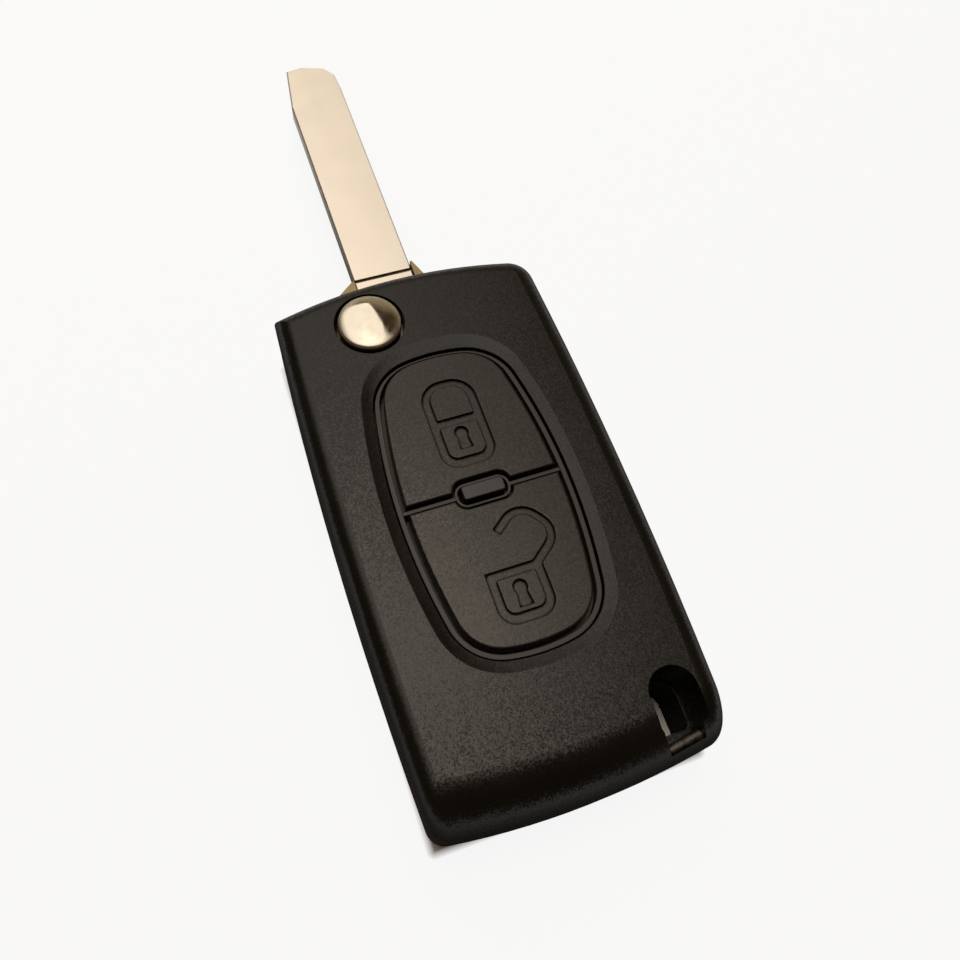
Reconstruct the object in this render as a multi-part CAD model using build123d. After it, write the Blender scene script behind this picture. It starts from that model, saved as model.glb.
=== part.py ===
from build123d import *

import math
import os

# Two-button flip key shell, in millimetres.
# Seen from the keypad side, +X is right and +Y towards the tip of the open blade. +Z is out of the keypad.
# The origin is the middle of the flat back.

# Housing, outside
WIDTH = 36.5
LENGTH = 69.6
THICK = 14.9
PARTING = 7.45
SIDE_BOW = 0.9
TOP_ARCH = 2.3
BOTTOM_ARCH = 1.5
TOP_CORNER_R = (2.8, 3.6)
EDGE_R = 2.4
BOTTOM_ROLL_R = 6.1
BACK_R = 2.2
SEAM = 0.12

# Housing, inside
WALL = 1.6
RIB = 1.0
RIB_PITCH = 6.5
SPOKE_ANGLES = (150, 185, 220)
INTO_WALL = 0.6
LAP = 0.8
LAP_HEIGHT = 0.8
LAP_GAP = 0.05

# Keypad opening, which four arcs bound and four corners round off
PAD_X = 0.28
PAD_TOP = 21.75
PAD_BOTTOM = -18.65
PAD_HALF = 10.78
PAD_WIDEST_Y = 1.2
PAD_TOP_R = 22.1
PAD_SIDE_R = 75.0
PAD_BOTTOM_R = 21.5
PAD_CORNER_R = 6.85
TRAY_WALL = 1.3
TRAY_Z = 9.9
TRAY_FLOOR = 1.2

# Shallow dish round the opening: how far out and how far above the face, and how much wider it is at the top
DISH_STEPS = ((-0.2, -0.34), (0.2, -0.29), (0.9, -0.13), (1.4, 0.0), (1.8, 0.1))
DISH_TOP = 0.35

# Silicone mat
MAT_FIT = 0.1
MAT_BASE = 1.0
LIP_GAP = 0.2
LIP_WIDTH = 0.65
LIP_WIDER = 0.35
LIP_TOP = 14.2
LIP_R = 0.1
BRIDGE = 0.4
BRIDGE_TOP = 14.05
DOME_R = (2.8, 1.9)
DOME_HEIGHT = 0.6

# Keys
KEY_INSET = 1.36
KEY_LONGER = 0.56
KEY_TOP = 14.75
KEY_EDGE_R = 0.2
KEY_SPLIT = 1.1
KEY_SPLIT_Y = 1.92
KEY_SKIRT = 1.0
KEY_ROOF = 1.3
KEY_TRAVEL = 0.6
KEY_FREE = 0.05
PUSHER_X = 1.5
PUSHER_Y = {"lock_key": 11.0, "unlock_key": -9.0}
PUSHER_R = 1.2
PUSHER_FIT = 0.1
PUSHER_TIP_Z = 9.2
BARB_R = 1.8
BARB_HEIGHT = 0.65
BARB_ROOM = 0.4

# Window between the keys: width, height and corner of each outline
WINDOW = (5.3, 1.85, 0.4)
COLLAR_IN = (6.25, 2.5, 1.1)
COLLAR_OUT = (6.8, 3.0, 1.35)
WELL = (7.25, 3.8, 1.55)
PIPE_FLANGE = (6.5, 2.8, 0.8)
PIPE_SLOT = (6.9, 3.2, 1.0)
PIPE_STEM = (3.0, 1.5, 0.4)
WINDOW_TOP = 15.15
COLLAR_TOP = 14.2
PIPE_FLANGE_HEIGHT = 0.7
PIPE_END_Z = 8.4

# Engraved padlocks
ENGRAVE = 0.4
BAND = 1.1
LOWER_BAND = 1.25
CROWN_BAND = 0.95
SQUARE_R = 0.1
LOCK_HALF = 3.45
LOCK_BOTTOM_R = 2.2
ARCH_R = 2.95
LOCK_SPAN = (5.38, 17.36)
LOCK_BODY_TOP = 11.56
OPEN_SPAN = (-14.8, -8.2)
SHACKLE_AT = (2.95, -4.85)
SHACKLE_TURN = -52
SHACKLE_CROWN = 3.05
SHACKLE_ENDS = (-1.9, -2.9)
KEYHOLE_R = 0.87
KEYHOLE_FLARE = (0.55, 0.86)
KEYHOLES = {"lock_key": (9.82, 2.16), "unlock_key": (-10.69, 2.34)}

# Pivot and hub
PIVOT = (-5.9, 28.0)
HUB_R = 5.5
HUB_FIT = 0.06
HUB_Z = (2.05, 11.6)
HUB_FLOOR = 1.6
HUB_CEILING = 12.0
HUB_RING = 1.2
SPIGOT_R = 1.7
SPIGOT_TOP = 7.0

# Release button
BUTTON_R = 3.92
BUTTON_TOP = 15.6
BUTTON_DOME = 0.35
BUTTON_RIM_R = 0.7
BUTTON_RECESS_R = 4.5
BUTTON_TRAVEL = 2.2
SHANK_R = 4.0
SHANK_Z = (9.2, 12.2)
SHANK_FIT = 0.08
SHANK_BORE_R = 3.1
SHANK_CEILING = 13.2
LUG_WIDTH = 2.0
LUG_R = 5.3
LUG_Z = (10.5, 11.8)
LUG_GAP = 0.1
NOTCH_R = 5.6
NOTCH_TOP = 13.3

# Spring and washer
SPRING_R = 2.35
SPRING_WIRE_R = 0.4
SPRING_TURNS = 5.5
SPRING_SIDES = 8
WASHER_R = (2.0, 5.3)
WASHER_THICK = 0.4

# Blade
BLADE_X = -0.85
BLADE_HALF = 4.17
BLADE_Z = (6.25, 8.65)
BLADE_TIP = 81.0
TIP_LEFT = ((0.0, 8.0), (1.1, 0.35), (3.4, 0.0))
TIP_RIGHT = ((1.5, 1.0), (0.25, 2.7), (0.0, 6.0))
BLADE_ROOT = 37.4
BLADE_CHAMFER = 0.2
GROOVE_Y = 39.2
GROOVE_WIDTH = 0.55
GROOVE_DEPTH = 0.4
TANG_HALF = 2.4
TANG_END = 33.2

# Neck of the hub
NECK_Z = (5.75, 9.15)
CHEEK_TIP = 0.3
CHEEK_TIP_Y = (39.0, 40.2)
CHEEK_GAP = 0.05
LEFT_SHOULDER = (-7.9, 37.0)
RIGHT_SHOULDER = ((5.2, 36.2), (5.0, 33.2))
NECK_ROOT_ANGLE = 10
SLIM = 0.02

# Slotted pin through the blade's root
PIN_Y = 35.4
PIN_R = 0.9
PIN_BORE_R = 0.5
PIN_SLIT = 0.35

# Slot that the blade folds into
SLOT_Z = (5.85, 9.05)
NECK_SLOT_Z = (5.4, 9.5)
SLOT_END_Y = -26.3
NECK_SLOT_Y = 15.3
SWING_GAP = 0.4
SLOT_INNER_X = 2 * PIVOT[0] - BLADE_X + BLADE_HALF + CHEEK_TIP + SWING_GAP
PARTITION = 1.2
FAR = 60.0

# Hole for the key ring, and its bar
HOLE_X = 12.15
HOLE_HALF = 2.85
HOLE_TOP = -24.3
HOLE_BOTTOM = -31.2
HOLE_CORNER_R = 1.0
HOLE_WALL = 1.3
LEDGE = 0.3
BAR_AT = (12.0, -32.42, 11.2)
BAR_TURN = 8
BAR_R = 0.65
BAR_HALF = 3.0
MOUTH_HALF = 2.28
MOUTH_SPAN = (-0.55, 2.3)
MOUTH_FLOOR = 9.2

# Screws
SCREWS = {"cover_screw_top": (12.3, 28.4), "cover_screw_bottom": (-12.2, -30.1)}
SCREW_R = 0.9
SCREW_HEAD_R = 1.9
SCREW_HEAD_Z = (0.3, 1.4)
SCREW_END = 10.7
SCREW_CROSS = (2.2, 0.5, 0.7)
BOSS_R = 2.3

# Pockets of the back cover
BATTERY_AT = (5.7, -4.0)
BATTERY_R = 8.25
BATTERY_WALL = 0.9
BATTERY_HEIGHT = 2.8
CHIP_AT = (8.4, 19.3)
CHIP_SIZE = (12.4, 5.2)
CHIP_WALL = 0.8
CHIP_HEIGHT = 2.6
POSTS = ((-3.6, -19.5), (14.6, -19.0), (-3.6, 12.5), (14.9, 13.0))
POST_R = 0.9
POST_TOP = 6.2

# Battery contacts
CONTACT_THICK = 0.25
CONTACT_WIDTH = 3.0
CONTACT_TAB_Z = 6.4
CONTACT_LIFT = 0.9
CONTACT_TAB_GAP = 1.75
CONTACT_FLAT_END = -2.0
CONTACT_LEAF_END = 3.0
CONTACT_LEAN = 0.4


def prism(face, low, high):
    """Extrude a flat outline between two heights."""
    return extrude(Pos(0, 0, low) * face, high - low)


def rod(centre, radius, low, high):
    """Upright round bar between two heights."""
    return prism(Pos(*centre) * Circle(radius), low, high)


def block(x_span, y_span, z_span):
    """Upright box between two corners."""
    face = Rectangle(x_span[1] - x_span[0], y_span[1] - y_span[0])
    centre = Pos(sum(x_span) / 2, sum(y_span) / 2)
    return prism(centre * face, *z_span)


def rounded(size):
    """Rounded rectangle round the middle of the window between the keys."""
    width, height, corner = size
    return Pos(PAD_X, KEY_SPLIT_Y) * RectangleRounded(width, height, corner)


# Housing


def plan(inset):
    """Plan outline of the housing, moved in by so much: bowed sides and arched ends, with sharp corners."""
    x_mid = WIDTH / 2 - inset
    x_end = x_mid - SIDE_BOW
    y_end = LENGTH / 2 - inset
    top_left = (-x_end, y_end - TOP_ARCH)
    top_right = (x_end, y_end - TOP_ARCH)
    bottom_left = (-x_end, BOTTOM_ARCH - y_end)
    bottom_right = (x_end, BOTTOM_ARCH - y_end)
    outline = [
        ThreePointArc(top_left, (0, y_end), top_right),
        ThreePointArc(top_right, (x_mid, 0), bottom_right),
        ThreePointArc(bottom_right, (0, -y_end), bottom_left),
        ThreePointArc(bottom_left, (-x_mid, 0), top_left),
    ]
    return make_face(outline)


def rounded_plan(inset):
    """The same outline with the corners rounded as the housing's are."""
    face = plan(inset)
    for side, radius in zip((0, -1), TOP_CORNER_R):
        corner = face.vertices().group_by(Axis.Y)[-1].sort_by(Axis.X)[side]
        face = fillet(corner, radius - inset)
    bottom = face.vertices().group_by(Axis.Y)[0]
    return fillet(bottom, EDGE_R - inset)


def housing(inset):
    """Both halves as one solid, moved in on every side: rolled bottom end, soft rim and rounded back."""
    low, high = inset, THICK - inset
    y_end = LENGTH / 2 - inset
    body = prism(plan(inset), low, high)
    rim = body.edges().group_by(Axis.Z)[-1]
    body = fillet(rim.sort_by(Axis.Y)[0], BOTTOM_ROLL_R - inset)

    upright = body.edges().filter_by(Axis.Z).sort_by(Axis.Y)[-2:].sort_by(Axis.X)
    for edge, radius in zip(upright, TOP_CORNER_R):
        body = fillet(edge, radius - inset)

    def on_front_rim(edge):
        """True for the edges that run round the front and down the two bottom corners."""
        middle = edge.center()
        smooth = abs(middle.X) < 1 and middle.Y < 0
        corner_seam = middle.Y > 0 and abs(middle.Z - THICK / 2) < 1
        return middle.Z > low + 0.5 and not smooth and not corner_seam

    body = fillet(body.edges().filter_by(on_front_rim), max(EDGE_R - inset, 0.6))
    back_rim = body.edges().filter_by(lambda edge: edge.bounding_box().max.Z < low + 0.01)
    return fillet(back_rim, max(BACK_R - inset, 0.6))


def front_half(body):
    """The part of a solid above the parting plane."""
    return split(body, bisect_by=Plane.XY.offset(PARTING), keep=Keep.TOP)


def back_half(body):
    """The part of a solid below the parting plane."""
    return split(body, bisect_by=Plane.XY.offset(PARTING), keep=Keep.BOTTOM)


# Outlines that several pieces share


def pad_face(grow, longer=0.0):
    """Outline of the keypad opening, moved out by so much all round, and the top arc by so much more."""
    top = Pos(0, PAD_TOP - PAD_TOP_R) * Circle(PAD_TOP_R + grow + longer)
    bottom = Pos(0, PAD_BOTTOM + PAD_BOTTOM_R) * Circle(PAD_BOTTOM_R + grow)
    right = Pos(PAD_HALF - PAD_SIDE_R, PAD_WIDEST_Y) * Circle(PAD_SIDE_R + grow)
    left = Pos(PAD_SIDE_R - PAD_HALF, PAD_WIDEST_Y) * Circle(PAD_SIDE_R + grow)
    face = top & bottom & right & left
    return Pos(PAD_X, 0) * fillet(face.vertices(), PAD_CORNER_R + grow)


def neck_face():
    """Plan of the hub's neck: the left flank runs straight off the round hub, and both have a shoulder."""
    left_tip = (BLADE_X - BLADE_HALF - CHEEK_TIP, CHEEK_TIP_Y[0])
    right_tip = (BLADE_X + BLADE_HALF + CHEEK_TIP, CHEEK_TIP_Y[1])
    reach = Vector(*LEFT_SHOULDER) - Vector(*PIVOT)
    tangent = math.degrees(math.atan2(reach.Y, reach.X) + math.acos(HUB_R / reach.length))
    left_root = Vector(*PIVOT) + Vector(HUB_R, 0).rotate(Axis.Z, tangent)
    right_root = Vector(*PIVOT) + Vector(HUB_R, 0).rotate(Axis.Z, NECK_ROOT_ANGLE)
    corners = [left_root, LEFT_SHOULDER, left_tip, right_tip, *RIGHT_SHOULDER, right_root, PIVOT]
    return make_face(Polyline(*corners, close=True))


def folded(shape):
    """A shape of the open blade, turned half round the pivot."""
    return Pos(*PIVOT) * Rot(0, 0, 180) * Pos(-PIVOT[0], -PIVOT[1]) * shape


def blade_slot_face():
    """Plan of the channel that the blade lies in when it is folded, open to the left."""
    width = SLOT_INNER_X + FAR
    height = NECK_SLOT_Y - SLOT_END_Y
    return Pos(SLOT_INNER_X - width / 2, SLOT_END_Y + height / 2) * Rectangle(width, height)


def neck_slot_face():
    """Plan of all that the neck sweeps as it turns, open to the top left corner."""
    right_tip = Vector(BLADE_X + BLADE_HALF + CHEEK_TIP, CHEEK_TIP_Y[1])
    outward = Vector(*PIVOT) + (right_tip - Vector(*PIVOT)) * 2
    corners = [PIVOT, outward, (outward.X, FAR), (-FAR, FAR), (-FAR, NECK_SLOT_Y)]
    sector = make_face(Polyline(*corners, (SLOT_INNER_X, NECK_SLOT_Y), close=True))
    neck = offset(neck_face(), amount=SWING_GAP, kind=Kind.INTERSECTION)
    return sector + neck + folded(neck)


def slot():
    """All that is cut away for the blade and the neck."""
    channel = prism(blade_slot_face(), *SLOT_Z)
    return channel + prism(neck_slot_face(), *NECK_SLOT_Z)


def partition_face():
    """Wall that parts the slot from the rest of the inside."""
    space = blade_slot_face() + neck_slot_face()
    return offset(space, amount=PARTITION, kind=Kind.INTERSECTION) - space


def slot_ribs(low, high):
    """Ribs across the slot, evenly spaced, and spokes round the hub."""
    count = int((NECK_SLOT_Y - SLOT_END_Y) / RIB_PITCH)
    ribs = Part()
    for i in range(count + 1):
        y = SLOT_END_Y + RIB / 2 + i * RIB_PITCH
        ribs += block((-WIDTH / 2, SLOT_INNER_X + RIB), (y, y + RIB), (low, high))
    for angle in SPOKE_ANGLES:
        spoke = Pos(WIDTH / 4, 0) * Rectangle(WIDTH / 2, RIB)
        ribs += prism(Pos(*PIVOT) * Rot(0, 0, angle) * spoke, low, high)
    return ribs


def hole_face(grow):
    """Outline of the key ring hole: a round top end and a square bottom end with small corners."""
    half = HOLE_HALF + grow
    top_y = HOLE_TOP - HOLE_HALF
    bottom_y = HOLE_BOTTOM - grow
    body = Pos(HOLE_X, (top_y + bottom_y) / 2) * Rectangle(2 * half, top_y - bottom_y)
    body = fillet(body.vertices().group_by(Axis.Y)[0], HOLE_CORNER_R + grow)
    return body + Pos(HOLE_X, top_y) * Circle(half)


def inner_walls(low, high):
    """What both covers have inside: partition, hub ring, screw bosses and the tube of the key ring hole."""
    walls = prism(partition_face(), low, high)
    walls += rod(PIVOT, HUB_R + HUB_FIT + HUB_RING, low, high)
    walls += prism(hole_face(HOLE_WALL), low, high)
    walls += block((HOLE_X, WIDTH / 2), (-LENGTH / 2, HOLE_TOP + HOLE_WALL), (low, high))
    walls += block((HOLE_X - HOLE_HALF - HOLE_WALL, HOLE_X), (-LENGTH / 2, HOLE_TOP - HOLE_HALF), (low, high))
    for centre in SCREWS.values():
        walls += rod(centre, BOSS_R, low, high)
    return walls


# Covers


def front_cover():
    """Keypad half of the housing."""
    outside = front_half(housing(0))
    outside = chamfer(outside.edges().group_by(Axis.Z)[0], SEAM)
    cover = outside - front_half(housing(WALL))
    inside = inner_walls(PARTING, THICK)
    inside += slot_ribs(SLOT_Z[1], THICK)
    inside += prism(pad_face(TRAY_WALL), TRAY_Z, THICK)
    cover += inside & front_half(housing(INTO_WALL))

    dish = [Pos(0, 0, THICK + rise) * pad_face(out, out * DISH_TOP) for out, rise in DISH_STEPS]
    cover -= loft(dish)
    cover -= prism(pad_face(0), TRAY_Z + TRAY_FLOOR, FAR)
    cover -= prism(rounded(PIPE_SLOT), TRAY_Z - WALL, THICK)
    for y in PUSHER_Y.values():
        cover -= rod((PUSHER_X, y), BARB_R + BARB_ROOM, TRAY_Z - WALL, THICK)

    cover -= slot()
    cover -= rod(PIVOT, HUB_R + HUB_FIT, 0, HUB_CEILING)
    cover -= rod(PIVOT, BUTTON_RECESS_R, 0, FAR)
    notch = Rectangle(2 * NOTCH_R, LUG_WIDTH + 3 * LUG_GAP)
    cover -= prism(Pos(*PIVOT) * notch, 0, NOTCH_TOP) & rod(PIVOT, NOTCH_R, 0, FAR)

    cover -= prism(hole_face(0), 0, FAR)
    mouth = block((-MOUTH_HALF, MOUTH_HALF), MOUTH_SPAN, (MOUTH_FLOOR, FAR))
    cover -= Pos(BAR_AT[0], BAR_AT[1]) * Rot(0, 0, BAR_TURN) * mouth
    cover -= bar_shape(SLIM)

    for centre in SCREWS.values():
        cover -= rod(centre, SCREW_R + SLIM, 0, SCREW_END + SLIM)
    rebate = rounded_plan(LAP) - rounded_plan(WALL + SLIM)
    return cover - prism(rebate, 0, PARTING + LAP_HEIGHT + LAP_GAP)


def back_cover():
    """Plain half of the housing, with the pockets."""
    outside = back_half(housing(0))
    outside = chamfer(outside.edges().group_by(Axis.Z)[-1], SEAM)
    cover = outside - back_half(housing(WALL))
    floor = WALL / 2
    inside = inner_walls(floor, PARTING)
    inside += slot_ribs(floor, SLOT_Z[0])
    ring = Circle(BATTERY_R + BATTERY_WALL) - Circle(BATTERY_R)
    ring -= Rectangle(FAR, CONTACT_WIDTH + BATTERY_WALL)
    inside += prism(Pos(*BATTERY_AT) * ring, floor, WALL + BATTERY_HEIGHT)
    chip = Rectangle(CHIP_SIZE[0] + 2 * CHIP_WALL, CHIP_SIZE[1] + 2 * CHIP_WALL) - Rectangle(*CHIP_SIZE)
    inside += prism(Pos(*CHIP_AT) * chip, floor, WALL + CHIP_HEIGHT)
    for centre in POSTS:
        inside += rod(centre, POST_R, floor, POST_TOP)
    cover += inside & back_half(housing(INTO_WALL))

    lap = rounded_plan(LAP + LAP_GAP) - rounded_plan(WALL - LAP_GAP)
    cover += prism(lap, PARTING - LAP, PARTING + LAP_HEIGHT)
    cover -= slot()
    cover -= rod(PIVOT, HUB_R + HUB_FIT, WALL, FAR)
    cover -= prism(hole_face(-LEDGE), -WALL, FAR)
    for centre in SCREWS.values():
        cover -= Pos(*centre) * screw_shape(SLIM)
        cover -= rod(centre, SCREW_HEAD_R + SLIM, -WALL, SCREW_HEAD_Z[0])
    return cover


# Keypad


def mat():
    """Silicone mat: base, lip round the keys, collar round the window, bridge, and a dome under each key."""
    floor = TRAY_Z + TRAY_FLOOR
    top = floor + MAT_BASE
    piece = prism(pad_face(-MAT_FIT), floor, top)
    lip = prism(pad_face(-LIP_GAP) - pad_face(-LIP_GAP - LIP_WIDTH, LIP_WIDER), top, LIP_TOP)
    lip = fillet(lip.edges().group_by(Axis.Z)[-1], LIP_R)
    piece += lip
    bridge = pad_face(-LIP_GAP - LIP_WIDTH / 2) & Pos(PAD_X, KEY_SPLIT_Y) * Rectangle(FAR, BRIDGE)
    piece += prism(bridge - rounded(COLLAR_IN), top, BRIDGE_TOP)
    piece += prism(rounded(COLLAR_OUT) - rounded(COLLAR_IN), top, COLLAR_TOP)
    for y in PUSHER_Y.values():
        dome = Pos(PUSHER_X, y, top + DOME_HEIGHT / 2) * Cone(*DOME_R, DOME_HEIGHT)
        piece += dome
        piece -= rod((PUSHER_X, y), PUSHER_R + PUSHER_FIT, floor, LIP_TOP)
    width, height, corner = WINDOW
    return piece - prism(rounded((width + 2 * SLIM, height + 2 * SLIM, corner + SLIM)), floor, LIP_TOP)


def key_face(name, inset):
    """Plan of one key, moved in by so much: half of the opening, less the gap and the window's notch."""
    face = pad_face(-KEY_INSET - inset, KEY_LONGER)
    upper = 1 if name == "lock_key" else -1
    middle = KEY_SPLIT_Y + upper * (KEY_SPLIT / 2 + inset + FAR / 2)
    face = face & Pos(0, middle) * Rectangle(FAR, FAR)
    width, height, corner = WELL
    return face - rounded((width + 2 * inset, height + 2 * inset, corner + inset))


def key(name):
    """One key cap: engraved roof, skirt, and the pusher whose barb holds it in the mat."""
    mat_floor = TRAY_Z + TRAY_FLOOR
    mat_top = mat_floor + MAT_BASE
    bottom = mat_top + KEY_TRAVEL + KEY_FREE
    roof = KEY_TOP - KEY_ROOF
    cap = prism(key_face(name, 0), bottom, KEY_TOP)
    cap = fillet(cap.edges().group_by(Axis.Z)[-1], KEY_EDGE_R)
    cap -= prism(key_face(name, KEY_SKIRT), bottom, roof)
    centre = (PUSHER_X, PUSHER_Y[name])
    cap += rod(centre, DOME_R[1], mat_top + DOME_HEIGHT + KEY_TRAVEL + KEY_FREE, roof + SLIM)
    cap += rod(centre, PUSHER_R, PUSHER_TIP_Z, roof)
    barb_top = mat_floor - KEY_FREE
    cap += rod(centre, BARB_R, barb_top - BARB_HEIGHT, barb_top)
    icon = closed_padlock() if name == "lock_key" else open_padlock()
    return cap - Pos(PAD_X, 0) * prism(icon, KEY_TOP - ENGRAVE, FAR)


def arch(half, low, high, top_r):
    """Upright outline, square at the bottom and with rounded corners at the top."""
    face = Pos(0, (low + high) / 2) * Rectangle(2 * half, high - low)
    return fillet(face.vertices().group_by(Axis.Y)[-1], top_r)


def soft_box(half, low, high, low_r, high_r):
    """The same outline with rounded corners at the bottom too."""
    face = arch(half, low, high, high_r)
    return fillet(face.vertices().group_by(Axis.Y)[0], low_r)


def keyhole(name):
    """Round keyhole with a flared stem."""
    centre_y, drop = KEYHOLES[name]
    narrow, wide = KEYHOLE_FLARE
    stem_end = centre_y - drop
    stem = Polyline((-narrow, centre_y), (narrow, centre_y), (wide, stem_end), (-wide, stem_end), close=True)
    return Pos(0, centre_y) * Circle(KEYHOLE_R) + make_face(stem)


def closed_padlock():
    """Engraved band of the closed padlock, with its keyhole."""
    low, high = LOCK_SPAN
    inner = LOCK_HALF - BAND
    outline = soft_box(LOCK_HALF, low, high, LOCK_BOTTOM_R, ARCH_R)
    window = arch(inner, LOCK_BODY_TOP + BAND / 2, high - CROWN_BAND, ARCH_R - BAND)
    body = soft_box(inner, low + LOWER_BAND, LOCK_BODY_TOP - BAND / 2, LOCK_BOTTOM_R - BAND, SQUARE_R)
    return outline - window - body + keyhole("lock_key")


def open_shackle():
    """Engraved band of the shackle that stands open, its free arm the shorter one."""
    free_end, held_end = SHACKLE_ENDS
    inner = LOCK_HALF - BAND
    band = arch(LOCK_HALF, held_end, SHACKLE_CROWN, ARCH_R)
    band -= arch(inner, held_end - BAND, SHACKLE_CROWN - CROWN_BAND, ARCH_R - BAND)
    band -= Pos(-LOCK_HALF, free_end - FAR / 2) * Rectangle(2 * LOCK_HALF, FAR)
    return Pos(*SHACKLE_AT) * Rot(0, 0, SHACKLE_TURN) * band


def open_padlock():
    """Engraved band of the open padlock, with its keyhole."""
    low, high = OPEN_SPAN
    inner = LOCK_HALF - BAND
    outline = soft_box(LOCK_HALF, low, high, LOCK_BOTTOM_R, SQUARE_R)
    body = soft_box(inner, low + LOWER_BAND, high - BAND, LOCK_BOTTOM_R - BAND, SQUARE_R)
    return outline + open_shackle() - body + keyhole("unlock_key")


def light_pipe():
    """Clear window, with a flange under the mat and a stem down to the lamp."""
    flange_top = TRAY_Z + TRAY_FLOOR - KEY_FREE
    piece = prism(rounded(WINDOW), flange_top - PIPE_FLANGE_HEIGHT, WINDOW_TOP)
    piece = fillet(piece.edges().group_by(Axis.Z)[-1], KEY_EDGE_R)
    piece += prism(rounded(PIPE_FLANGE), flange_top - PIPE_FLANGE_HEIGHT, flange_top)
    return piece + prism(rounded(PIPE_STEM), PIPE_END_Z, flange_top)


# Blade, hub and release button


def hub():
    """Die-cast hub: a round cup for the button and the spring, and a neck that forks round the blade."""
    low, high = HUB_Z
    neck = prism(neck_face(), *NECK_Z)
    body = rod(PIVOT, HUB_R, low, high) + neck
    floor = low + HUB_FLOOR
    body -= rod(PIVOT, SHANK_R + SHANK_FIT, floor, FAR)
    body += rod(PIVOT, SPIGOT_R, low, SPIGOT_TOP)
    lug_slot = Rectangle(2 * FAR, LUG_WIDTH + 2 * LUG_GAP)
    lug_slot = prism(Pos(*PIVOT) * lug_slot, LUG_Z[0] - BUTTON_TRAVEL - LUG_GAP, FAR)
    body -= lug_slot
    root = (BLADE_X - BLADE_HALF - CHEEK_GAP, BLADE_X + BLADE_HALF + CHEEK_GAP)
    body -= block(root, (BLADE_ROOT, FAR), NECK_Z)
    tang = (BLADE_X - TANG_HALF - SLIM, BLADE_X + TANG_HALF + SLIM)
    body -= block(tang, (TANG_END - SLIM, FAR), (BLADE_Z[0] - SLIM, BLADE_Z[1] + SLIM))
    return body - rod((BLADE_X, PIN_Y), PIN_R + SLIM, 0, FAR)


def blade():
    """Flat uncut blade with a skewed tip, one groove across its root on each face, and a narrow tang."""
    left, right = BLADE_X - BLADE_HALF, BLADE_X + BLADE_HALF
    tip = [(left + across, BLADE_TIP - down) for across, down in TIP_LEFT]
    tip += [(right - across, BLADE_TIP - down) for across, down in TIP_RIGHT]
    face = make_face(Polyline((left, BLADE_ROOT), *tip, (right, BLADE_ROOT), close=True))
    body = prism(face, *BLADE_Z)
    body = chamfer(body.edges().filter_by(Axis.Z, reverse=True), BLADE_CHAMFER)
    tang = (BLADE_X - TANG_HALF, BLADE_X + TANG_HALF)
    body += block(tang, (TANG_END, BLADE_ROOT + BLADE_CHAMFER), BLADE_Z)
    groove_y = (GROOVE_Y - GROOVE_WIDTH / 2, GROOVE_Y + GROOVE_WIDTH / 2)
    body -= block((left, right), groove_y, (BLADE_Z[1] - GROOVE_DEPTH, FAR))
    body -= block((left, right), groove_y, (0, BLADE_Z[0] + GROOVE_DEPTH))
    return body - rod((BLADE_X, PIN_Y), PIN_R + SLIM, 0, FAR)


def blade_pin():
    """Rolled spring pin: a tube with one slit."""
    section = Circle(PIN_R) - Circle(PIN_BORE_R)
    section -= Pos(PIN_R / 2, 0) * Rectangle(PIN_R * 1.2, PIN_SLIT)
    return prism(Pos(BLADE_X, PIN_Y) * section, *NECK_Z)


def release_button():
    """Chromed cap with a low dome, a hollow shank, and two lugs that ride in the hub."""
    shank_low, shank_high = SHANK_Z
    crown = ThreePointArc(
        (0, BUTTON_TOP + BUTTON_DOME),
        (BUTTON_R / 2, BUTTON_TOP + BUTTON_DOME * 0.75),
        (BUTTON_R, BUTTON_TOP),
    )
    sides = Polyline(
        (BUTTON_R, BUTTON_TOP),
        (BUTTON_R, shank_high),
        (SHANK_R, shank_high),
        (SHANK_R, shank_low),
        (SHANK_BORE_R, shank_low),
        (SHANK_BORE_R, SHANK_CEILING),
        (0, SHANK_CEILING),
        (0, BUTTON_TOP + BUTTON_DOME),
    )
    profile = make_face([crown, sides])
    rim = profile.vertices().filter_by(lambda v: abs(v.X - BUTTON_R) < SLIM and abs(v.Y - BUTTON_TOP) < SLIM)
    profile = Plane.XZ * fillet(rim, BUTTON_RIM_R)
    cap = revolve(profile, Axis.Z)
    lugs = prism(Rectangle(2 * LUG_R, LUG_WIDTH), *LUG_Z) & rod((0, 0), LUG_R, 0, FAR)
    lugs -= rod((0, 0), SHANK_BORE_R, 0, FAR)
    return Pos(*PIVOT) * (cap + lugs)


def flip_spring():
    """Coil between the floor of the hub and the inside of the button, its wire with eight flat sides."""
    low = HUB_Z[0] + HUB_FLOOR + SPRING_WIRE_R
    height = SHANK_CEILING - SPRING_WIRE_R - low
    path = Helix(height / SPRING_TURNS, height, SPRING_R)
    section = Plane(origin=path @ 0, z_dir=path % 0) * RegularPolygon(SPRING_WIRE_R, SPRING_SIDES)
    coil = sweep(section, path, is_frenet=True)
    return Pos(*PIVOT, low) * coil


def pivot_washer():
    """Thin washer under the hub."""
    hole_r, outer_r = WASHER_R
    ring = Circle(outer_r) - Circle(hole_r)
    return prism(Pos(*PIVOT) * ring, WALL, WALL + WASHER_THICK)


# Small parts


def bar_shape(grow):
    """Round bar across the lower end of the key ring hole, along the rounded corner."""
    turned = Pos(*BAR_AT) * Rot(0, 0, BAR_TURN) * Rot(0, 90, 0)
    return turned * Cylinder(BAR_R + grow, 2 * (BAR_HALF + grow))


def screw_shape(grow):
    """Countersunk screw on the axis, before its cross is cut."""
    low, high = SCREW_HEAD_Z
    profile = Polyline(
        (0, low),
        (SCREW_HEAD_R + grow, low),
        (SCREW_R + grow, high),
        (SCREW_R + grow, SCREW_END),
        (0, SCREW_END),
        close=True,
    )
    return revolve(Plane.XZ * make_face(profile), Axis.Z)


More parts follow.
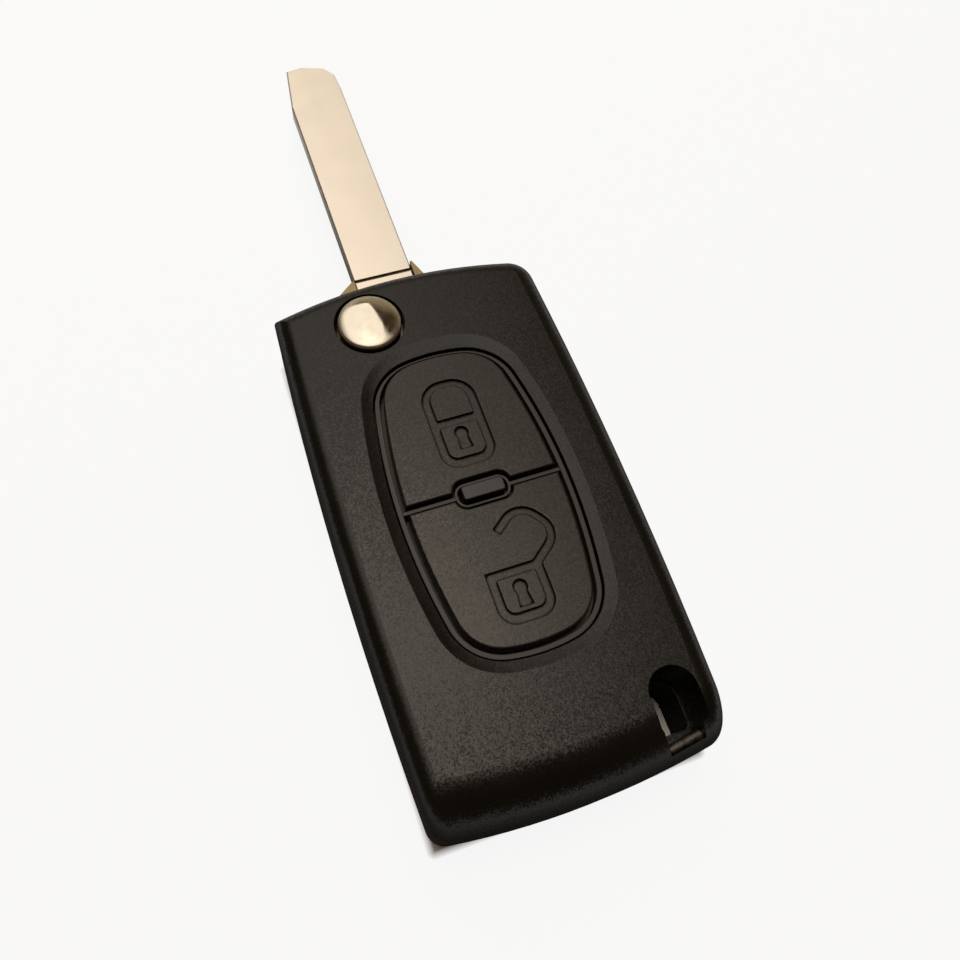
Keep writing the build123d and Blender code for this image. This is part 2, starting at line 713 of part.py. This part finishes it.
def screw(name):
    """Countersunk screw with a cross recess."""
    length, width, depth = SCREW_CROSS
    low = SCREW_HEAD_Z[0]
    cross = Rectangle(length, width) + Rectangle(width, length)
    return Pos(*SCREWS[name]) * (screw_shape(0) - prism(cross, low, low + depth))


def contact(path):
    """Bent strip of spring metal, given by its side view."""
    strip = trace(Polyline(*path), CONTACT_THICK)
    middle = Plane(origin=(0, BATTERY_AT[1] + CONTACT_WIDTH / 2, 0), x_dir=(1, 0, 0), z_dir=(0, -1, 0))
    return extrude(middle * strip, CONTACT_WIDTH)


def negative_contact():
    """Strip along the floor of the battery pocket, with a leaf lifted to the battery."""
    x = BATTERY_AT[0]
    floor = WALL + CONTACT_THICK / 2 + SLIM
    tab_x = x - BATTERY_R - CONTACT_TAB_GAP
    bend = (x + CONTACT_FLAT_END, floor)
    tip = (x + CONTACT_LEAF_END, floor + CONTACT_LIFT)
    return contact([(tab_x, CONTACT_TAB_Z), (tab_x, floor), bend, tip])


def positive_contact():
    """Strip up the side of the battery pocket, with a leaf against the battery's rim."""
    x = BATTERY_AT[0]
    floor = WALL + CONTACT_THICK / 2 + SLIM
    tab_x = x + BATTERY_R + CONTACT_TAB_GAP
    bend = (x + BATTERY_R + CONTACT_LEAN, floor)
    tip = (x + BATTERY_R, WALL + BATTERY_HEIGHT)
    return contact([(tab_x, CONTACT_TAB_Z), (tab_x, floor), bend, tip])


PIECES = {
    "front_cover": front_cover,
    "back_cover": back_cover,
    "keypad_mat": mat,
    "lock_key": lambda: key("lock_key"),
    "unlock_key": lambda: key("unlock_key"),
    "led_light_pipe": light_pipe,
    "release_button": release_button,
    "flip_spring": flip_spring,
    "blade_hub": hub,
    "key_blade": blade,
    "blade_pin": blade_pin,
    "pivot_washer": pivot_washer,
    "ring_bar": lambda: bar_shape(0),
    "cover_screw_top": lambda: screw("cover_screw_top"),
    "cover_screw_bottom": lambda: screw("cover_screw_bottom"),
    "battery_contact_positive": positive_contact,
    "battery_contact_negative": negative_contact,
}

os.makedirs("parts", exist_ok=True)
for node, make in PIECES.items():
    export_step(make(), f"parts/{node}.step")
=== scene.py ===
"""Flip key remote shell: finishes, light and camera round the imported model."""

import math

import bpy
import numpy as np
from mathutils import Matrix, Vector

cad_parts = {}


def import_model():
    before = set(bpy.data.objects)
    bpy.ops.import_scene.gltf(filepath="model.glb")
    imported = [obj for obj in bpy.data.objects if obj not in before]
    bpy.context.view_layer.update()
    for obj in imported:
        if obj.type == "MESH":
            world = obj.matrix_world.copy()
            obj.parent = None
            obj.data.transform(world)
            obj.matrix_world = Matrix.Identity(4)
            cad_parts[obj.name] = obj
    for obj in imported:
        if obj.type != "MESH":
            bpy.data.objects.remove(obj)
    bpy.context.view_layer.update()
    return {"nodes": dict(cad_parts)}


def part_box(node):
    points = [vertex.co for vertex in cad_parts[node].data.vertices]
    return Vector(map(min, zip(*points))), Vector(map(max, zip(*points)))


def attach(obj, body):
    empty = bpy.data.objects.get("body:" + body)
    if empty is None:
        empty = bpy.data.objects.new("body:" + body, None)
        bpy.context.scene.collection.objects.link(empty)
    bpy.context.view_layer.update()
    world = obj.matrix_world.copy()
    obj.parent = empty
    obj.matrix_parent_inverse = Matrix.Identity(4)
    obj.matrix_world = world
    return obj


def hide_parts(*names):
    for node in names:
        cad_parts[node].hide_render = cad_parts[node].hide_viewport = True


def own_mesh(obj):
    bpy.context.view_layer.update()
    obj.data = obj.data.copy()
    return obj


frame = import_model()

MM = 0.001

# Rays that a node sends out to feel the walls round a point
WALL_RAYS = 8
# Most of a noise lies between these two values
NOISE_RANGE = (0.3, 0.7)
# Sockets of a Mix node that mixes colours: its two ends and what it gives
TONE_A, TONE_B, MIXED = 6, 7, 2
# Grain of the plastic, and the size of the grains that glint
GRAIN_MM = 0.17
GLINT_MM = 0.18
# How many times further the glinting grains are thrown along the key than across it
ALONG_TO_ACROSS = 3

# Release button: where its axis stands, the radius of its head, and how far out its plate starts to rub
BUTTON_AT = (-5.9, 28.0)
HEAD_R = 4.05
RUBBED_FROM = 2.6
# More than the height of the button, so that only the distance from its axis counts
ANY_HEIGHT = 20


def linear(hex_colour):
    """Linear RGBA of an sRGB hex colour."""
    levels = np.array([int(hex_colour[i:i + 2], 16) for i in (1, 3, 5)]) / 255
    low, high = levels / 12.92, ((levels + 0.055) / 1.055) ** 2.4
    return (*np.where(levels <= 0.04045, low, high), 1.0)


def across(size_mm):
    """Scale at which the blotches or cells of a texture are about so many millimetres across."""
    return 1 / (size_mm * MM)


# Nodes that several finishes share


def add(tree, kind, inputs=(), output=0, **settings):
    """Adds one node and gives back one of its outputs.

    Settings are its own properties. Inputs go by name or number, or in the node's own order. Each of them gets
    a value, a hex colour, or a socket to link from.
    """
    made = tree.nodes.new("ShaderNode" + kind)
    for name, value in settings.items():
        setattr(made, name, value)
    for name, value in inputs.items() if isinstance(inputs, dict) else enumerate(inputs):
        if isinstance(value, bpy.types.NodeSocket):
            tree.links.new(value, made.inputs[name])
        else:
            made.inputs[name].default_value = linear(value) if isinstance(value, str) else value
    return made.outputs[output]


def new_material(name):
    """An empty node material, its tree, and its Object coordinates."""
    material = bpy.data.materials.new(name)
    material.use_nodes = True
    tree = material.node_tree
    tree.nodes.clear()
    return material, tree, add(tree, "TexCoord", output="Object")


def surfaced(material, shader):
    """The material with this shader as its surface."""
    output = material.node_tree.nodes.new("ShaderNodeOutputMaterial")
    material.node_tree.links.new(shader, output.inputs["Surface"])
    return material


def glinting(tree, place, tilt, normal):
    """Normal thrown to a random side in each grain: normal + tilt · (random colour of the cell - 1/2).

    The grains are thrown further along the key than across it, as the eroded tool leaves them.
    """
    cells = add(tree, "TexVoronoi", {"Vector": place, "Scale": across(GLINT_MM)}, "Color")
    thrown = add(tree, "VectorMath", (cells, (0.5, 0.5, 0.5)), operation="SUBTRACT")
    furthest = (tilt / ALONG_TO_ACROSS, tilt, tilt)
    thrown = add(tree, "VectorMath", (thrown, furthest), operation="MULTIPLY")
    thrown = add(tree, "VectorMath", (normal, thrown), operation="ADD")
    return add(tree, "VectorMath", (thrown,), operation="NORMALIZE")


def shelter(tree, reach_mm, open_at, shut_at, own_walls=True):
    """0 in the open, 1 deep in a groove: what walls cover within a reach, its own ones or all."""
    cover = add(tree, "AmbientOcclusion", {"Distance": reach_mm * MM}, "AO", samples=WALL_RAYS,
                only_local=own_walls)
    return add(tree, "MapRange", (cover, shut_at, open_at, 1.0, 0.0))


def outside(tree, place, half_mm, low_mm, high_mm):
    """Rises from 0 to 1 between two distances outside an upright box: |max(|p| - half, 0)|."""
    half = tuple(length * MM for length in half_mm)
    reach = add(tree, "VectorMath", (place,), operation="ABSOLUTE")
    reach = add(tree, "VectorMath", (reach, half), operation="SUBTRACT")
    reach = add(tree, "VectorMath", (reach, (0, 0, 0)), operation="MAXIMUM")
    reach = add(tree, "VectorMath", (reach,), "Value", operation="LENGTH")
    return add(tree, "MapRange", (reach, low_mm * MM, high_mm * MM, 0.0, 1.0))


# Materials


def black_plastic(name, tones, specular, cloud_mm, grain_rough, grain_deep_mm, tilt, edge_mm, walls, shut):
    """Grained plastic in soft clouds of two tones, with the shut colour and roughness near walls.

    walls is what shelter takes: how far off they count, and how open a place is where their shade starts
    and where it is full. The shut colour near walls is painted shade.
    """
    material, tree, place = new_material(name)
    cloud = add(tree, "TexNoise", {"Vector": place, "Scale": across(cloud_mm)})
    plain = add(tree, "Mix", {0: cloud, TONE_A: tones[0], TONE_B: tones[1]}, MIXED, data_type="RGBA")
    plain_rough = add(tree, "MapRange", (cloud, *NOISE_RANGE, 0.26, 0.31))
    # Painted shade: near walls the colour darkens to the shut colour and the roughness rises
    covered = shelter(tree, *walls)
    shut_colour, shut_rough = shut
    colour = add(tree, "Mix", {0: covered, TONE_A: plain, TONE_B: shut_colour}, MIXED, data_type="RGBA")
    covered_rough = add(tree, "Math", (covered, shut_rough), operation="MULTIPLY")
    rough = add(tree, "Math", (plain_rough, covered_rough), operation="MAXIMUM")
    grain = add(tree, "TexNoise", {"Vector": place, "Scale": across(GRAIN_MM), "Roughness": grain_rough})
    edges = add(tree, "Bevel", {"Radius": edge_mm * MM}, samples=WALL_RAYS)
    grained = add(tree, "Bump", {"Height": grain, "Distance": grain_deep_mm * MM, "Strength": 1.0,
                                 "Normal": edges})
    return surfaced(material, add(tree, "BsdfPrincipled", {
        "Base Color": colour, "Specular IOR Level": specular, "Roughness": rough,
        "Normal": glinting(tree, place, tilt, grained)}))


def spark_eroded_abs():
    """Black ABS moulded in a spark-eroded tool: a fine, even grain that glints where the light is mirrored.

    The real grain is about 0.05 mm. It is drawn more than three times as coarse, so that it shows.
    Within 3 mm of walls, as in the key ring hole, shade is painted into its colour.
    """
    return black_plastic(
        "spark_eroded_abs", tones=("#12100e", "#191613"), specular=0.265, cloud_mm=6.0, grain_rough=0.55,
        grain_deep_mm=0.012, tilt=0.17, edge_mm=0.12, walls=(3.0, 0.55, 0.35), shut=("#050403", 0.95))


def moulded_abs():
    """Black ABS key caps: the same plastic from a finer tool, so smoother and a little greyer.

    Painted shade darkens the walls of the engraving, so they read as dark lines. The grain is drawn as
    coarse as on the covers, for the same reason.
    """
    return black_plastic(
        "moulded_abs", tones=("#25211e", "#2d2925"), specular=0.3, cloud_mm=5.0, grain_rough=0.6,
        grain_deep_mm=0.01, tilt=0.13, edge_mm=0.2, walls=(0.5, 0.88, 0.62), shut=("#040303", 0.9))


def clouded(name, tones, cloud_mm, cloud_detail, rough, grain_mm, grain_deep_mm, tone_range=(0.0, 1.0),
            draw_out=(1.0, 1.0, 1.0), painted_shade_between_parts=None, shader=()):
    """Surface in clouds of two tones, with a fine grain in its normal, and with painted shade near walls.

    rough is one value, or two that the clouds run between. draw_out draws the grain out along the axes
    where it is small. The painted shade between parts is given as its colour and what shelter takes. shader is
    what other sockets get.
    """
    material, tree, place = new_material(name)
    cloud = add(tree, "TexNoise", {"Vector": place, "Scale": across(cloud_mm), "Detail": cloud_detail})
    tone = add(tree, "MapRange", (cloud, *tone_range, 0.0, 1.0))
    colour = add(tree, "Mix", {0: tone, TONE_A: tones[0], TONE_B: tones[1]}, MIXED, data_type="RGBA")
    if painted_shade_between_parts:
        # Painted shade: the colour darkens where other parts cover it
        covered = shelter(tree, *painted_shade_between_parts[1:])
        colour = add(tree, "Mix", {0: covered, TONE_A: colour, TONE_B: painted_shade_between_parts[0]}, MIXED, data_type="RGBA")
    if isinstance(rough, tuple):
        rough = add(tree, "MapRange", (cloud, *NOISE_RANGE, *rough))
    drawn = add(tree, "Mapping", {"Vector": place, "Scale": draw_out})
    grain = add(tree, "TexNoise", {"Vector": drawn, "Scale": across(grain_mm)})
    normal = add(tree, "Bump", {"Height": grain, "Distance": grain_deep_mm * MM, "Strength": 1.0})
    inputs = {"Base Color": colour, "Roughness": rough, "Normal": normal, **dict(shader)}
    return surfaced(material, add(tree, "BsdfPrincipled", inputs))


def moulded_silicone():
    """Black silicone rubber: matt and slightly dusty, so its edges look greyer than the plastic."""
    return clouded("moulded_silicone", tones=("#24211e", "#312d29"), cloud_mm=1.2, cloud_detail=4.0,
                   rough=0.5, grain_mm=0.15, grain_deep_mm=0.006)


def smoked_polycarbonate():
    """Smoked polycarbonate window: dark, glossy and smooth."""
    return clouded("smoked_polycarbonate", tones=("#1c1b1d", "#232123"), cloud_mm=1.5, cloud_detail=2.0,
                   rough=0.3, grain_mm=0.2, grain_deep_mm=0.003, shader={"Specular IOR Level": 0.4})


def blasted_nickel():
    """Nickel plate over a bead-blasted zinc casting: matt, pale and grainy, with painted shade in its bore."""
    return clouded("blasted_nickel", tones=("#857858", "#998c6b"), cloud_mm=2.0, cloud_detail=3.0,
                   rough=(0.42, 0.52), grain_mm=0.1, grain_deep_mm=0.008,
                   painted_shade_between_parts=("#0b0a09", 2.0, 0.3, 0.15, False), shader={"Metallic": 1.0})


def drawn_steel():
    """Drawn spring steel: grey, with a faint unevenness from the die."""
    return clouded("drawn_steel", tones=("#8d8c8a", "#a5a3a0"), cloud_mm=0.8, cloud_detail=3.0,
                   rough=(0.25, 0.38), grain_mm=0.08, grain_deep_mm=0.002, shader={"Metallic": 1.0})


def turned_steel():
    """Turned steel bar with fine rings and a rubbed, slightly dull surface, darkened by painted shade."""
    # The dark tones are painted shade, for the bar sits in the shade of the key ring hole
    return clouded("turned_steel", tones=("#3a3835", "#65615c"), cloud_mm=0.6, cloud_detail=3.0,
                   rough=(0.4, 0.6), grain_mm=0.06, grain_deep_mm=0.003, tone_range=(0.35, 0.65),
                   draw_out=(1.0, 0.05, 0.05), shader={"Metallic": 1.0})


def black_zinc():
    """Black zinc plate on steel screws: dark, with bare metal showing through in specks."""
    return clouded("black_zinc", tones=("#2f2f31", "#8b8983"), cloud_mm=0.25, cloud_detail=3.0, rough=0.36,
                   grain_mm=0.1, grain_deep_mm=0.003, tone_range=(0.62, 0.75), shader={"Metallic": 0.9})


def nickel_strip():
    """Nickel-plated spring strip: bright and rolled smooth."""
    return clouded("nickel_strip", tones=("#cfc8b8", "#ddd7c9"), cloud_mm=1.0, cloud_detail=3.0,
                   rough=(0.18, 0.3), grain_mm=0.1, grain_deep_mm=0.001, shader={"Metallic": 1.0})


def satin_nickel():
    """Satin nickel plate on a rolled blade: faint lines along it, soft smudges, and painted shade in its
    groove.
    """
    material, tree, place = new_material("satin_nickel")
    smudge = add(tree, "TexNoise", {"Vector": place, "Scale": across(4.0), "Detail": 4.0,
                                    "Roughness": 0.55})
    plate = add(tree, "Mix", {0: smudge, TONE_A: "#cfc8bb", TONE_B: "#dad4c8"}, MIXED, data_type="RGBA")
    # Painted shade: darker brown in the groove and along walls
    painted_groove_shade = shelter(tree, reach_mm=0.8, open_at=0.9, shut_at=0.6)
    colour = add(tree, "Mix", {0: painted_groove_shade, TONE_A: plate, TONE_B: "#94806a"}, MIXED, data_type="RGBA")
    rough = add(tree, "MapRange", (smudge, 0.35, 0.7, 0.28, 0.35))
    along = add(tree, "Mapping", {"Vector": place, "Scale": (1.0, 0.02, 1.0)})
    lines = add(tree, "TexNoise", {"Vector": along, "Scale": across(0.12), "Detail": 3.0})
    normal = add(tree, "Bump", {"Height": lines, "Distance": 0.002 * MM, "Strength": 1.0})
    return surfaced(material, add(tree, "BsdfPrincipled", {
        "Base Color": colour, "Metallic": 1.0, "Roughness": rough, "Normal": normal}))


def chrome_plate():
    """Bright chrome over nickel on a moulded cap: mirror-like, with faint finger marks.

    Towards the edge of the head the plate is rubbed, so the mirror blurs there. Deep in the bore, and where
    other parts cover it, shade is painted into its colour.
    """
    material, tree, place = new_material("chrome_plate")
    marks = add(tree, "TexNoise", {"Vector": place, "Scale": across(1.6), "Detail": 4.0, "Roughness": 0.6})
    plate = add(tree, "Mix", {0: marks, TONE_A: "#c2bbab", TONE_B: "#d6d1c4"}, MIXED, data_type="RGBA")
    # Painted shade: the plate turns near black where other parts cover it, as deep in the bore
    painted_shade_between_parts = shelter(tree, reach_mm=2.0, open_at=0.4, shut_at=0.2, own_walls=False)
    colour = add(tree, "Mix", {0: painted_shade_between_parts, TONE_A: plate, TONE_B: "#0b0a09"}, MIXED, data_type="RGBA")
    axis = (BUTTON_AT[0] * MM, BUTTON_AT[1] * MM, 0)
    from_axis = add(tree, "VectorMath", (place, axis), operation="SUBTRACT")
    edge = outside(tree, from_axis, (0, 0, ANY_HEIGHT), RUBBED_FROM, HEAD_R)
    rubbed = add(tree, "MapRange", (marks, *NOISE_RANGE, 0.36, 0.5))
    rubbed = add(tree, "Math", (edge, rubbed), operation="MULTIPLY")
    marked = add(tree, "MapRange", (marks, 0.4, 0.7, 0.06, 0.2))
    rough = add(tree, "Math", (marked, rubbed), operation="MAXIMUM")
    waves = add(tree, "TexNoise", {"Vector": place, "Scale": across(2.6), "Detail": 1.0})
    normal = add(tree, "Bump", {"Height": waves, "Distance": 0.035 * MM, "Strength": 1.0})
    return surfaced(material, add(tree, "BsdfPrincipled", {
        "Base Color": colour, "Metallic": 1.0, "Roughness": rough, "Normal": normal}))


FINISHES = {
    spark_eroded_abs: ("front_cover", "back_cover"),
    moulded_abs: ("lock_key", "unlock_key"),
    moulded_silicone: ("keypad_mat",),
    smoked_polycarbonate: ("led_light_pipe",),
    chrome_plate: ("release_button",),
    satin_nickel: ("key_blade",),
    blasted_nickel: ("blade_hub",),
    drawn_steel: ("flip_spring", "blade_pin", "pivot_washer"),
    turned_steel: ("ring_bar",),
    black_zinc: ("cover_screw_top", "cover_screw_bottom"),
    nickel_strip: ("battery_contact_positive", "battery_contact_negative"),
}
finished = {finish: finish() for finish in FINISHES}
for finish, nodes in FINISHES.items():
    for node in nodes:
        mesh = frame["nodes"][node].data
        mesh.materials.clear()
        mesh.materials.append(finished[finish])


def new_object(name, points_mm, faces, material, sharp_from=180):
    """Object at the origin, smooth except where its faces meet at more than so many degrees."""
    mesh = bpy.data.meshes.new(name)
    mesh.from_pydata((np.array(points_mm) * MM).tolist(), [], faces)
    mesh.shade_smooth()
    mesh.set_sharp_from_angle(angle=math.radians(sharp_from))
    mesh.materials.append(material)
    made = bpy.data.objects.new(name, mesh)
    bpy.context.scene.collection.objects.link(made)
    return made


# Release button

HEAD_SKIRT = 14.3
DOME_TOP = 15.95
DOME_CURVE = 0.042
ROLL_R = 0.5
DOME_RINGS = 14
ROLL_RINGS = 12
BUTTON_SIDES = 96
# Neck, shank and bore below the head: radius and height
BUTTON_FOOT = ((3.92, 14.3), (3.92, 12.2), (4.0, 12.2), (4.0, 9.2), (3.1, 9.2), (3.1, 13.2), (0.0, 13.2))
LUG_LOW, LUG_HIGH = (3.5, -1.0, 10.5), (5.2, 1.0, 11.8)


def button_profile():
    """Radius and height from the top of the dome to the ceiling of the bore.

    The dome is h = top - k·r². It runs smoothly into a quarter round, with h = c + R·cos a and
    r = edge + R·sin a.
    """
    last = (HEAD_R - ROLL_R) / (1 - 2 * DOME_CURVE * ROLL_R)
    dome_r = np.linspace(0, last, DOME_RINGS)
    dome = np.column_stack((dome_r, DOME_TOP - DOME_CURVE * dome_r ** 2))
    slope = math.atan(2 * DOME_CURVE * last)
    angle = np.linspace(slope, math.pi / 2, ROLL_RINGS)[1:]
    centre = dome[-1, 1] - ROLL_R * math.cos(slope)
    roll = np.column_stack((HEAD_R - ROLL_R + ROLL_R * np.sin(angle), centre + ROLL_R * np.cos(angle)))
    return np.vstack((dome, roll, [(HEAD_R, HEAD_SKIRT)], BUTTON_FOOT))


def turned(profile, sides):
    """Vertices and faces of a profile turned round the upright axis: x = r·cos a, y = r·sin a, z = h.

    The profile starts and ends on the axis, where a single vertex closes it.
    """
    angle = np.linspace(0, 2 * math.pi, sides, endpoint=False)
    radius, height = profile[1:-1].T
    rings = np.stack((np.outer(radius, np.cos(angle)), np.outer(radius, np.sin(angle)),
                      np.tile(height[:, None], sides)), axis=-1).reshape(-1, 3)
    ends = [(0, 0, profile[0, 1]), (0, 0, profile[-1, 1])]
    here = np.arange(len(rings)).reshape(-1, sides)
    following = np.roll(here, -1, axis=1)
    quads = np.stack((here[:-1], here[1:], following[1:], following[:-1]), axis=-1).reshape(-1, 4)
    first, last = len(rings), len(rings) + 1
    top = [(first, a, b) for a, b in zip(here[0].tolist(), following[0].tolist())]
    bottom = [(last, b, a) for a, b in zip(here[-1].tolist(), following[-1].tolist())]
    return np.vstack((rings, ends)), quads.tolist() + top + bottom


def block(low, high, turn):
    """Vertices and faces of a box between two corners, turned half round the upright axis for turn -1."""
    corners = np.stack(np.meshgrid(*zip(low, high), indexing="ij"), axis=-1).reshape(-1, 3)
    faces = [(0, 1, 3, 2), (4, 6, 7, 5), (0, 4, 5, 1), (2, 3, 7, 6), (0, 2, 6, 4), (1, 5, 7, 3)]
    return corners * (turn, turn, 1), faces


def release_button(material):
    """Domed chrome head with a rolled edge, on its shank, with the two lugs that ride in the hub."""
    points, faces = turned(button_profile(), BUTTON_SIDES)
    for turn in (1, -1):
        more, sides = block(LUG_LOW, LUG_HIGH, turn)
        faces = faces + [[index + len(points) for index in side] for side in sides]
        points = np.vstack((points, more))
    made = new_object("domed_button", points + (*BUTTON_AT, 0), faces, material, sharp_from=40)
    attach(made, "button")
    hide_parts("release_button")


release_button(finished[chrome_plate])


# Spring under the button

WIRE_R = 0.4
COIL_TURNS = 6
CLOSED_ENDS = 0.42
WIRE_SIDES = 12
STEPS_A_TURN = 36


def button_spring(material):
    """Coil from the floor of the hub to the inside of the button, with its end turns closed up.

    Along the wire, u from 0 to 1, the angle is a = 2·pi·turns·u, and the height is
    low + rise·(u - c·sin(2·pi·u) / (2·pi)). Round the wire, each point is its middle +
    w·(cos b·outwards + sin b·upwards).
    """
    low, high = (np.array(corner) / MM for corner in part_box("flip_spring"))
    middle = (low + high) / 2
    coil_r = (high[0] - low[0]) / 2 - WIRE_R
    u = np.linspace(0, 1, COIL_TURNS * STEPS_A_TURN + 1)[:, None]
    a = 2 * math.pi * COIL_TURNS * u
    b = np.linspace(0, 2 * math.pi, WIRE_SIDES, endpoint=False)[None, :]
    rise = high[2] - low[2] - 2 * WIRE_R
    height = low[2] + WIRE_R + rise * (u - CLOSED_ENDS * np.sin(2 * math.pi * u) / (2 * math.pi))
    outwards = coil_r + WIRE_R * np.cos(b)
    points = np.stack((middle[0] + outwards * np.cos(a), middle[1] + outwards * np.sin(a),
                       height + WIRE_R * np.sin(b)), axis=-1).reshape(-1, 3)
    here = np.arange(len(points)).reshape(-1, WIRE_SIDES)
    round_wire = np.roll(here, -1, axis=1)
    quads = np.stack((here[:-1], here[1:], round_wire[1:], round_wire[:-1]), axis=-1).reshape(-1, 4)
    ends = [here[0].tolist(), here[-1][::-1].tolist()]
    made = new_object("button_spring", points, quads.tolist() + ends, material, sharp_from=50)
    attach(made, "blade")
    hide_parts("flip_spring")
    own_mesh(made)


button_spring(finished[drawn_steel])


# Stage, light and camera, in millimetres and degrees

FLOOR_HALF = 1500
# Share of plain white in the floor
FLOOR_WHITE = 0.9
# Half of the housing's footprint, and how far from it mirrors see the floor go from a painted shadow to white
FOOTPRINT_HALF = (17, 33.5, 1)
MIRRORS_DARK, MIRRORS_WHITE = 8, 90

# Both lamps hang at one height and shine straight down
LAMP_HEIGHT = 600

# The room is paler low down on the far right side. How pale it is in a direction is the product of the two,
# from dim to pale within PALE_RANGE.
PALE_SIDE = (0.45, 0.75, -0.5)
PALE_RANGE = (0.3, 0.6)

# A phone held close above the lower left of the key
CAMERA_AT = (-21.37, -35.44, 110.80)
LOOKS_AT = (0.24, 3.02, 15.0)
CAMERA_ROLL = -20.93
LENS = 33.34
SENSOR = 36.0
SEES_FROM = 1


def white_where_seen(tree, place, shader):
    """Mixes a shader with plain white where it is seen straight, in a mirror or through glass.

    None of it lies under the housing, and mirrors see a painted shadow: the white fades to black near the
    housing, where it stands in the light.
    """
    camera_ray, mirror_ray, glass_ray = (
        add(tree, "LightPath", output=f"Is {ray} Ray") for ray in ("Camera", "Glossy", "Transmission"))
    uncovered = outside(tree, place, FOOTPRINT_HALF, 0, 1)
    straight = add(tree, "Math", (camera_ray, uncovered), operation="MULTIPLY")
    other = add(tree, "Math", (mirror_ray, glass_ray), operation="MAXIMUM")
    share = add(tree, "Math", (straight, other), operation="MAXIMUM")
    share = add(tree, "Math", (share, FLOOR_WHITE), operation="MULTIPLY")
    # Painted shadow: mirrors see the floor dark near the housing and white further off
    mirror_shadow_fade = outside(tree, place, FOOTPRINT_HALF, MIRRORS_DARK, MIRRORS_WHITE)
    strength = add(tree, "Math", (camera_ray, mirror_shadow_fade), operation="MAXIMUM")
    white = add(tree, "Emission", {"Color": "#ffffff", "Strength": strength})
    return add(tree, "MixShader", (share, shader, white))


def floor():
    """Large white floor just under the object."""
    material, tree, place = new_material("white_paper")
    diffuse = add(tree, "BsdfDiffuse", {"Color": "#f4f4f4"})
    surfaced(material, white_where_seen(tree, place, diffuse))
    corners = [(x * FLOOR_HALF, y * FLOOR_HALF, 0) for x, y in ((-1, -1), (1, -1), (1, 1), (-1, 1))]
    new_object("floor", corners, [(0, 1, 2, 3)], material)


def lamp(name, over, size, watts, hex_colour):
    """Rectangular area lamp over a place on the floor."""
    light = bpy.data.lights.new(name, "AREA")
    light.shape = "RECTANGLE"
    light.size, light.size_y = (length * MM for length in size)
    light.energy = watts
    light.color = linear(hex_colour)[:3]
    made = bpy.data.objects.new(name, light)
    made.location = Vector((*over, LAMP_HEIGHT)) * MM
    bpy.context.scene.collection.objects.link(made)


def world():
    """Soft room light, white where it is seen straight."""
    made = bpy.data.worlds.new("room")
    bpy.context.scene.world = made
    made.use_nodes = True
    tree = made.node_tree
    tree.nodes.clear()
    direction = add(tree, "TexCoord", output="Generated")
    side = add(tree, "VectorMath", (direction, PALE_SIDE), "Value", operation="DOT_PRODUCT")
    pale = add(tree, "MapRange", (side, *PALE_RANGE, 0.0, 1.0))
    room = add(tree, "Mix", {0: pale, TONE_A: "#463828", TONE_B: "#ab9a7e"}, MIXED, data_type="RGBA")
    camera_ray, glass_ray = (
        add(tree, "LightPath", output=f"Is {ray} Ray") for ray in ("Camera", "Transmission"))
    seen = add(tree, "Math", (camera_ray, glass_ray), operation="MAXIMUM")
    colour = add(tree, "Mix", {0: seen, TONE_A: room, TONE_B: "#ffffff"}, MIXED, data_type="RGBA")
    sky = add(tree, "Background", {"Color": colour, "Strength": 1.0})
    output = tree.nodes.new("ShaderNodeOutputWorld")
    tree.links.new(sky, output.inputs["Surface"])


def camera():
    """Camera at the photograph's place, angle and field of view."""
    lens = bpy.data.cameras.new("camera")
    lens.lens = LENS
    lens.sensor_width = SENSOR
    lens.clip_start = SEES_FROM * MM
    made = bpy.data.objects.new("camera", lens)
    towards = Vector(CAMERA_AT) - Vector(LOOKS_AT)
    side = Vector((0, 1, 0)).cross(towards).normalized()
    up = towards.cross(side).normalized()
    turn = Matrix((side, up, towards.normalized())).transposed()
    turn = turn @ Matrix.Rotation(math.radians(CAMERA_ROLL), 3, "Z")
    made.matrix_world = Matrix.Translation(Vector(CAMERA_AT) * MM) @ turn.to_4x4()
    bpy.context.scene.collection.objects.link(made)
    bpy.context.scene.camera = made


floor()
world()
lamp("ceiling", over=(-40, 475), size=(520, 1050), watts=2.6, hex_colour="#fff4e8")
lamp("bulb", over=(10, 104), size=(110, 180), watts=0.68, hex_colour="#fff0dc")
camera()
bpy.context.scene.view_settings.view_transform = "Standard"
